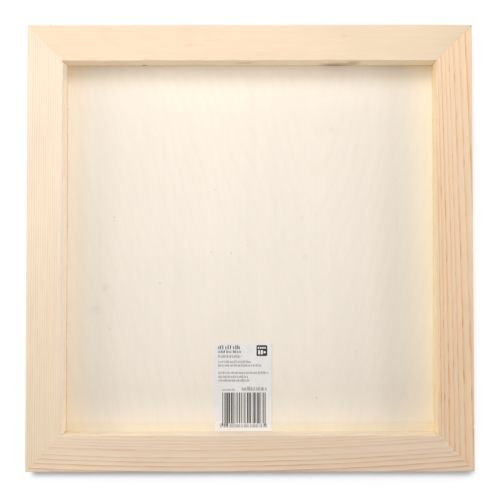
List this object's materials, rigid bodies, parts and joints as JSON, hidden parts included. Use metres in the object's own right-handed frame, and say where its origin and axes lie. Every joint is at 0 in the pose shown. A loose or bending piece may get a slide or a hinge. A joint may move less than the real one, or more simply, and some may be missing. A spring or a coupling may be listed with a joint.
{
  "type": "cradled wood painting panel",
  "caption": "Square wooden painting panel lying face down: a thin plywood sheet glued over a mitred pine frame, open at the back, with a small paper label inside.",
  "frame": {"origin": "centre of the painting face, on the plane that the panel lies on when it is face down", "axes": "+Z from the painting face out of the open back, +Y towards the top rail, +X to the right as seen from the back"},
  "size_m": [0.254, 0.254, 0.0191],
  "materials": {
    "pine": "planed softwood, bare, fine sanded",
    "face_veneer": "sanded bare veneer, ready to prime",
    "core_ply": "sawn cross-grain core ply",
    "back_veneer": "sanded bare veneer",
    "dried_glue": "dried wood glue, clear amber",
    "zinc_steel": "zinc-plated strip steel",
    "label_paper": null
  },
  "bodies": {
    "root": {"rail_top": "pine", "rail_left": "pine", "rail_bottom": "pine", "rail_right": "pine", "panel_face_veneer": "face_veneer", "panel_core_ply": "core_ply", "panel_back_veneer": "back_veneer", "panel_glue_bed": "dried_glue", "mitre_glue_top_right": "dried_glue", "mitre_glue_top_left": "dried_glue", "mitre_glue_bottom_left": "dried_glue", "mitre_glue_bottom_right": "dried_glue", "v_nail_top_right_inner": "zinc_steel", "v_nail_top_right_outer": "zinc_steel", "v_nail_top_left_inner": "zinc_steel", "v_nail_top_left_outer": "zinc_steel", "v_nail_bottom_left_inner": "zinc_steel", "v_nail_bottom_left_outer": "zinc_steel", "v_nail_bottom_right_inner": "zinc_steel", "v_nail_bottom_right_outer": "zinc_steel", "label": "label_paper"}
  },
  "joints": []
}
